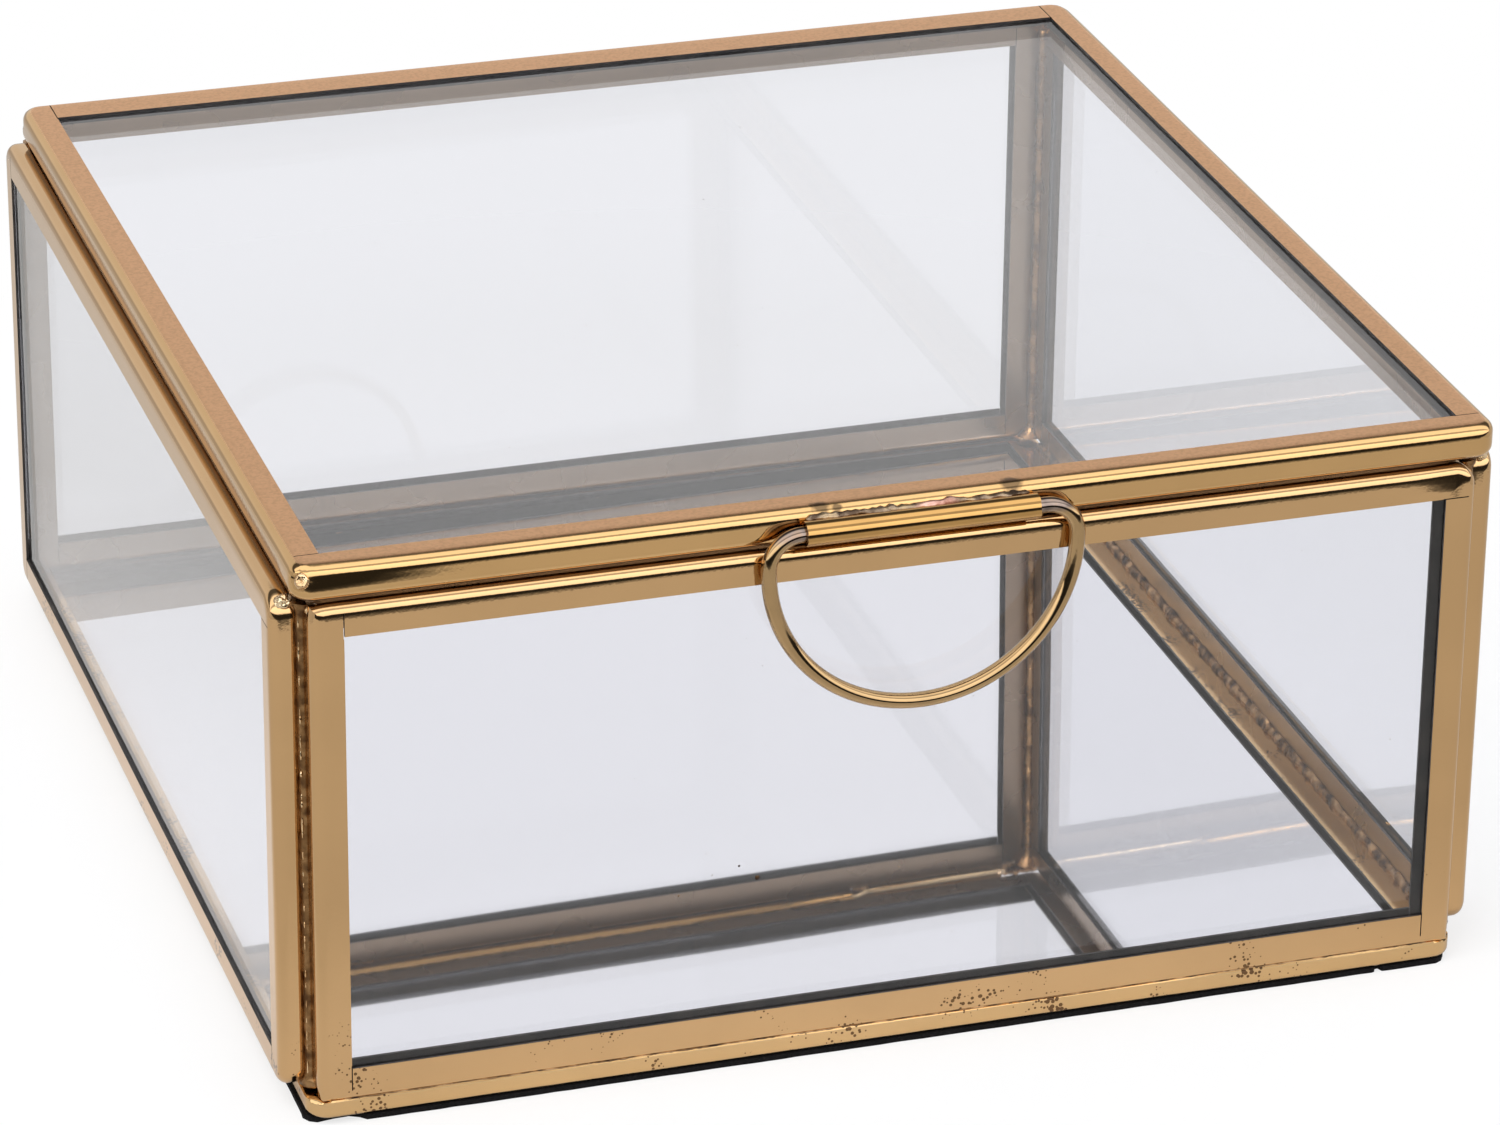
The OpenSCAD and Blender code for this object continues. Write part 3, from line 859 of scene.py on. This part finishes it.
# %% Run solder into the corners and round the base
for k, (place_name, sx, sy) in enumerate(
    (("front_left", -1, -1), ("front_right", 1, -1), ("back_left", -1, 1), ("back_right", 1, 1))
):
    outwards = Vector((sx, sy, 0)).normalized()
    foot = Vector((57.0 * sx, 59.5 * sy, 0)) + outwards * 0.02
    seam = solder_run(
        "corner_seam_" + place_name, "corner_solder_" + place_name,
        foot + Vector((0, 0, 2.6)), foot + Vector((0, 0, 53.4)), (0.6, 0.6), "box", 11 + k,
        [groove_solder, bead_solder], lump=0.12, rough=0.18, beads=30, bead_side=outwards, plug=1.2,
    )
    print(seam.name, len(seam.data.polygons), "faces")
BASE_RUNS = [
    ("front", (-54.8, -62.2, 2.5), (54.8, -62.2, 2.5), (0.2, 0.12)),
    ("back", (-54.8, 61.85, 2.6), (54.8, 61.85, 2.6), (0.36, 0.3)),
    ("left", (-57.6, -57.2, 2.5), (-57.6, 57.2, 2.5), (0.6, 0.6)),
    ("right", (57.2, -57.2, 2.5), (57.2, 57.2, 2.5), (0.6, 0.7)),
]
for k, (place_name, start, end, radii) in enumerate(BASE_RUNS):
    run = solder_run(
        "base_seam_" + place_name, "base_solder_" + place_name, start, end, radii, "box", 21 + k, [seam_solder]
    )
    print(run.name, len(run.data.polygons), "faces")

# %% [markdown]
# ## Beads at the corners
# Where a strip's end was touched with solder, a small bead stands at the corner. The one on the lid froze as
# a ring round a pit. A ball pushed about by noise and stretched to the CAD bead's box gives each its own shape.


# %% Make the beads
def solder_bead(name, node, body, seed, pit=None, stretch=0.25, nudge=(0, 0, 0)):
    low, high = box_mm(node)
    centre, half = (low + high) / 2 + Vector(nudge), (high - low) / 2
    bm = bmesh.new()
    bmesh.ops.create_icosphere(bm, subdivisions=5, radius=1)
    for vert in bm.verts:
        way = vert.co.normalized()
        reach = 1 + stretch * noise.noise(way * 1.4 + Vector((seed, 0, 0)))
        reach += 0.08 * noise.noise(way * 5 + Vector((0, seed, 0)))
        if pit:
            off = math.acos(max(-1, min(1, way.dot(pit))))
            reach += 0.12 * math.exp(-(((off - 0.75) / 0.2) ** 2)) - 0.4 * math.exp(-((off / 0.33) ** 2))
        vert.co = centre + Vector([w * h * reach for w, h in zip(way, half)])
    return fit_piece(mesh_object(name, bm, [bead_solder], sharp=180), body, node)


towards_viewer = Vector((-0.3, -0.85, 0.42)).normalized()
solder_bead("lid_bead", "lid_corner_bead", "lid", 1.3, pit=towards_viewer, stretch=0.12, nudge=(0.3, 0, 0.4))
for k, place_name in enumerate(("front", "right", "back", "left")):
    bead = solder_bead(place_name + "_bead", place_name + "_corner_bead", "box", 2.1 + 1.7 * k)
print("beads: 5, of", len(bead.data.polygons), "faces each")

# %% [markdown]
# ## The felt under the base
# A thin black felt is glued under the base by hand. It was cut with scissors, so its edge wanders, its near
# left corner is cut back and there is a notch near the right end. A flat card could stand for it, but its
# edge is what shows, as a black line under the brass, so the outline is drawn point by point and thickened.

# %% Cut the felt
FELT_TOP = 0.5
felt_front, felt_back, felt_left, felt_right = -62.4, 61.5, -58.2, 57.4
corner_cut = [(-58.15, -60.4), (-57.7, -61.2), (-57.0, -61.6), (-55.4, -61.35), (-53.9, -61.3), (-53.0, -61.75)]
notch = [(49.2, -62.3), (49.45, -61.8), (49.75, -61.75), (50.0, -62.35)]


def scissor_edge(first, last, along_x, level, seed, step=1.4, size=0.07):
    places = spread(first, last, int(abs(last - first) / step))
    edge = [(p, level + size * wobble(p * 0.5, seed, 0)) for p in places]
    return edge if along_x else [(across, p) for p, across in edge]


felt_outline = (
    corner_cut
    + scissor_edge(-52.4, 48.9, True, felt_front, 1.5)
    + notch
    + scissor_edge(50.6, 55.7, True, felt_front, 1.5)
    + [(56.4, -62.0), (56.9, -61.2)]
    + scissor_edge(-59.6, 60.6, False, felt_right, 3.5)
    + scissor_edge(56.6, -57.4, True, felt_back - 0.1, 4.5)
    + scissor_edge(60.8, 4.0, False, felt_left + 0.12, 5.5)
    + [(felt_left, 2.4), (felt_left + 0.35, 1.8)]
    + scissor_edge(1.0, -59.6, False, felt_left + 0.12, 6.5)
)
bm = bmesh.new()
lower = [bm.verts.new((x, y, 0)) for x, y in felt_outline]
upper = [bm.verts.new((x, y, FELT_TOP)) for x, y in felt_outline]
bm.faces.new(list(reversed(lower)))
bm.faces.new(upper)
join_rings(bm, lower, upper)
bmesh.ops.triangulate(bm, faces=[f for f in bm.faces if len(f.verts) > 4])

black_felt, tree = new_material("black_felt")
fibres = small_noise(tree, object_place(tree), 3500.0, 5.0)
fluff = ramp(tree, fibres, [(0.4, (0.002, 0.002, 0.002)), (0.7, (0.008, 0.007, 0.008))])
fuzz = bumped(tree, fibres, 0.8, 0.0001)
end_tree(tree, Base_Color=fluff, Roughness=0.95, Specular_IOR_Level=0.2, Normal=fuzz)
felt = fit_piece(mesh_object("felt_sheet", bm, [black_felt], smooth=False), "box", "base_backing")

# %% [markdown]
# ## Wire and tube
# The ring and the hinge pin are bright drawn wire, and the two tubes they turn in were rolled from sheet, so
# fine ridges run along them. The ring's CAD shape is right as it is and gets a wire finish, which greys
# towards the tube where the flame reached it. The tubes are made again with their ridges, and the hinge wire
# with the small bend that lets its feet lie on the back panel.


# %% Wire and tube finishes
def make_wire(name, colour, roughness, grey_above=None):
    material, tree = new_material(name)
    coords = object_place(tree)
    cloud = small_noise(tree, coords, 250.0, 3.0)
    colour_out = ramp(tree, cloud, [(0.35, tuple(c * 0.9 for c in colour)), (0.62, colour)])
    if grey_above:
        heated = map_range(tree, split(tree, coords)["Z"], grey_above[0] * MM, grey_above[1] * MM)
        scale = [(0.4, (0.13, 0.1, 0.085)), (0.5, (0.27, 0.21, 0.18)), (0.62, (0.36, 0.22, 0.12))]
        colour_out = mix_colours(tree, heated, colour_out, ramp(tree, cloud, scale))
    drawn = bumped(tree, small_noise(tree, coords, 1800.0, 2.0), 0.15, 0.00002)
    end_tree(tree, Base_Color=colour_out, Metallic=1.0, Roughness=roughness, Normal=drawn)
    return material


ring_wire = make_wire("ring_wire", (0.45, 0.3, 0.15), 0.08, grey_above=(54.7, 55.3))
pin_wire = make_wire("pin_wire", (0.55, 0.4, 0.22), 0.15)
tube_brass = make_wire("tube_brass", (0.52, 0.3, 0.105), 0.08)
refinish("pull_ring", ring_wire)
print("ring finish:", ring_wire.name)

# %% [markdown]
# ## Rolling the tubes
# The pull and the hinge turn in short lengths of thin brass tube, cut with a saw. A cylinder with a hole would
# do for the shape; an outer and an inner skin made of rings also carry fine drawn lines and rounded rims.


# %% Roll the tubes
def rolled_tube(name, node, body, bore, seed, around=72, ridge=0.006):
    low, high = box_mm(node)
    centre, radius = (low + high) / 2, (high.z - low.z) / 2
    count = max(10, int((high.x - low.x) / 1.5))
    bm = bmesh.new()

    def skin(size, ridged):
        rows = []
        for k, x in enumerate(spread(low.x, high.x, count)):
            row = []
            for j in range(around):
                a = 2 * math.pi * j / around
                facets = ridge * math.cos(9 * a + seed) + ridge * wobble(3 * a, seed, x * 0.05)
                r = size + (facets - 1.2 * ridge if ridged else 0)
                trim = 0.08 * wobble(2 * math.cos(a), 2 * math.sin(a), seed + k) - 0.05
                x_here = x + (trim if k == count else -trim if k == 0 else 0)
                row.append(bm.verts.new((x_here, centre.y + r * math.cos(a), centre.z + r * math.sin(a))))
            rows.append(row)
        return rows

    outer, inner = skin(radius, True), skin(bore, False)
    for rows in (outer, inner):
        for here, following in zip(rows, rows[1:]):
            join_rings(bm, here, following)
    for k in (0, count):
        join_rings(bm, outer[k], inner[k])
    return fit_piece(mesh_object(name, bm, [tube_brass], sharp=50), body, node)


WIRE_RADIUS, BORE_GAP = 0.75, 0.08
for node, seed in (("pull_tube", 0.4), ("hinge_tube", 1.9)):
    tube = rolled_tube("rolled_" + node, node, "lid", WIRE_RADIUS + BORE_GAP, seed)
    print(tube.name, [round(v / MM, 1) for v in tube.dimensions])

# %% [markdown]
# ## The hinge's wire
# One wire runs through the tube, and just past each end it steps down onto the back panel's top. It could be
# three straight rods, but wire bends softly, so one rod is swept along a line that eases down.


# %% Bend the hinge wire
STEP_AT, STEP_LONG = 36.7, 1.2
low, high = box_mm("hinge_wire")
middle_x, foot_z, pin_z = (low.x + high.x) / 2, low.z + WIRE_RADIUS, high.z - WIRE_RADIUS
bm = bmesh.new()
centres = []
for x in spread(low.x, high.x, 140):
    step = limited((STEP_AT - abs(x - middle_x)) / STEP_LONG)
    centres.append(Vector((x, (low.y + high.y) / 2, foot_z + (pin_z - foot_z) * step * step * (3 - 2 * step))))
lumpy_rod(bm, centres, [(WIRE_RADIUS, WIRE_RADIUS)] * len(centres), Y_AXIS, Z_AXIS, 0.0, 1, around=28)
pin = fit_piece(mesh_object("hinge_pin_wire", bm, [pin_wire], sharp=50), "box", "hinge_wire")
print("hinge wire:", [round(v / MM, 1) for v in pin.dimensions])

# %% [markdown]
# ## Solder on the tubes and the wire
# The tubes are held by a fillet along their length, and the wire by a blob over each foot. The pull's fillet
# was overheated and froze rough, with a coppery crust, so its lumps are the largest.


# %% Solder the tubes and the wire's feet
pull_seam = solder_run(
    "pull_seam", "pull_tube_solder", (-10.1, -62.53, 56.41), (11.7, -62.53, 56.41), (0.42, 0.34), "lid", 31.5,
    [pull_solder], lump=0.6, rough=0.8,
)
upper_seam = solder_run(
    "hinge_seam_upper", "hinge_tube_solder_upper", (-33.2, 58.9, 55.5), (33.8, 58.9, 55.5), (0.36, 0.4),
    "lid", 33, [seam_solder],
)
lower_seam = solder_run(
    "hinge_seam_lower", "hinge_tube_solder_lower", (-33.2, 58.85, 54.4), (33.8, 58.85, 54.4), (0.26, 0.26),
    "lid", 35, [seam_solder], lump=0.2, rough=0.3,
)
for k, place_name in enumerate(("left", "right")):
    solder_bead("wire_foot_" + place_name, "hinge_wire_solder_" + place_name, "box", 7.3 + k, stretch=0.2)
# Past each foot the solder ran on to the corner, behind the lid's rear edge, and closed the last gap there. A
# drop of it also hangs under the wire where this bends down beside the tube.
LUMPS = [
    ("corner_lump_left", -53.4, -57.6, 60.45, 53.95, 1.02, 41.5),
    ("corner_lump_right", 53.4, 58.7, 60.45, 53.95, 1.02, 43.5),
    ("bend_drop_left", -35.3, -37.6, 60.1, 53.8, 0.5, 45.5),
    ("bend_drop_right", 35.3, 37.6, 60.1, 53.8, 0.5, 47.5),
]
for piece_name, inner_x, outer_x, y, z, radius, seed in LUMPS:
    bm = bmesh.new()
    steps = 12
    line = [Vector((x, y, z)) for x in spread(inner_x, outer_x, steps)]
    thick = [radius * math.sqrt(max(0.05, 1 - (2 * k / steps - 1) ** 6)) for k in range(steps + 1)]
    lumpy_rod(bm, line, [(r * 0.9, r) for r in thick], Y_AXIS, Z_AXIS, 0.35, seed, around=18)
    fit_piece(mesh_object(piece_name, bm, [groove_solder], sharp=50), "box")
print("seams:", pull_seam.name, upper_seam.name, lower_seam.name, "and", len(LUMPS), "lumps")

# %% [markdown]
# ## Specks on the panes
# Flux spits while a box is soldered, and small brown specks of it stay on the glass. They could be painted
# into the glass finish, but a see-through finish is best kept plain. So each speck is a tiny low lump that
# sits on its pane. One larger, rusty one stands low on the front panel, left of its middle.


# %% Spit the specks
def flux_specks(name, spots, origin, across, up, out, body):
    """Low lumps at (across, up, radius) in mm from origin on a pane that faces out."""
    bm = bmesh.new()
    for k, (a, b, radius) in enumerate(spots):
        lump = bmesh.ops.create_icosphere(bm, subdivisions=1, radius=1)["verts"]
        for vert in lump:
            push = radius * (1 + 0.5 * noise.noise(vert.co * 1.3 + Vector((k * 1.9, 0, 0))))
            centre = origin + across * a + up * b
            vert.co = centre + (across * vert.co.x + up * vert.co.y + out * (0.35 * vert.co.z)) * push
    return fit_piece(mesh_object(name, bm, [seam_solder], sharp=180), body)


def scattered(count, width, height, seed):
    spots = []
    for k in range(count):
        a = 0.5 + 0.95 * wobble(k * 1.37, seed, 0.2)
        b = 0.5 + 0.95 * wobble(k * 1.91, seed, 7.7)
        radius = 0.035 + 0.06 * abs(wobble(k * 2.3, seed, 3.1))
        if 0.02 < a < 0.98 and 0.02 < b < 0.98:
            spots.append((a * width, b * height, radius))
    return spots


low, high = box_mm("front_glass")
front_spots = scattered(46, 107, 44, 1.5) + [(39.2, 13.8, 0.3), (37.4, 15.3, 0.13), (31.5, 13.0, 0.1)]
front_corner = Vector((low.x + 2, low.y, low.z + 2))
flux_specks("flux_specks_front", front_spots, front_corner, X_AXIS, Z_AXIS, -Y_AXIS, "box")
low, high = box_mm("lid_glass")
lid_spots = scattered(60, 108, 108, 4.5)
lid_corner = Vector((low.x + 3, low.y + 3, high.z))
flux_specks("flux_specks_lid", lid_spots, lid_corner, X_AXIS, Y_AXIS, Z_AXIS, "lid")
print("specks:", len(front_spots), "on the front,", len(lid_spots), "on the lid")
